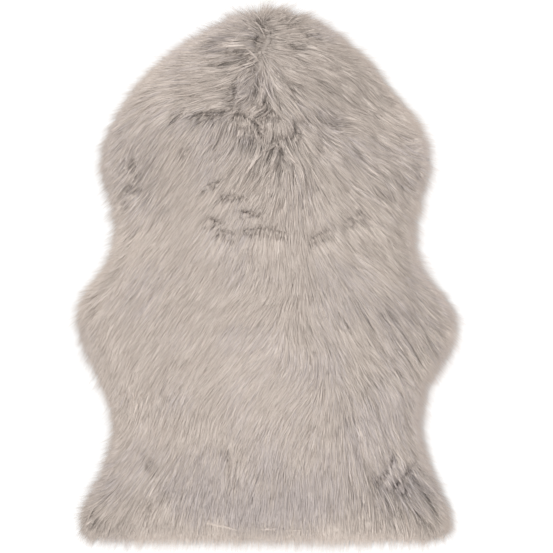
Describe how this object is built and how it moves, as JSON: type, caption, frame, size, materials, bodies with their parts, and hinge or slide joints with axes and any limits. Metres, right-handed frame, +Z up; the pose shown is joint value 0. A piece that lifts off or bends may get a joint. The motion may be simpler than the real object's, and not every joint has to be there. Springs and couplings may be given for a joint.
{
  "type": "sheepskin rug",
  "caption": "Pelt-shaped long-haired sheepskin rug, laid flat, its fleece combed from the crown to the tail; lies on a floor, chair or bench.",
  "frame": {"origin": "middle of the rug's box in plan, on the floor, at the flat skin side", "axes": "+Y from the tail to the head end, along the length; +X to the right seen from above with the head away; +Z up, through the fleece"},
  "size_m": [0.6504, 0.9008, 0.0397],
  "materials": {
    "fleece": "long silky pile, warm light grey, combed; matt with a soft sheen along the hairs"
  },
  "bodies": {
    "root": {"pelt": "fleece"}
  },
  "joints": []
}
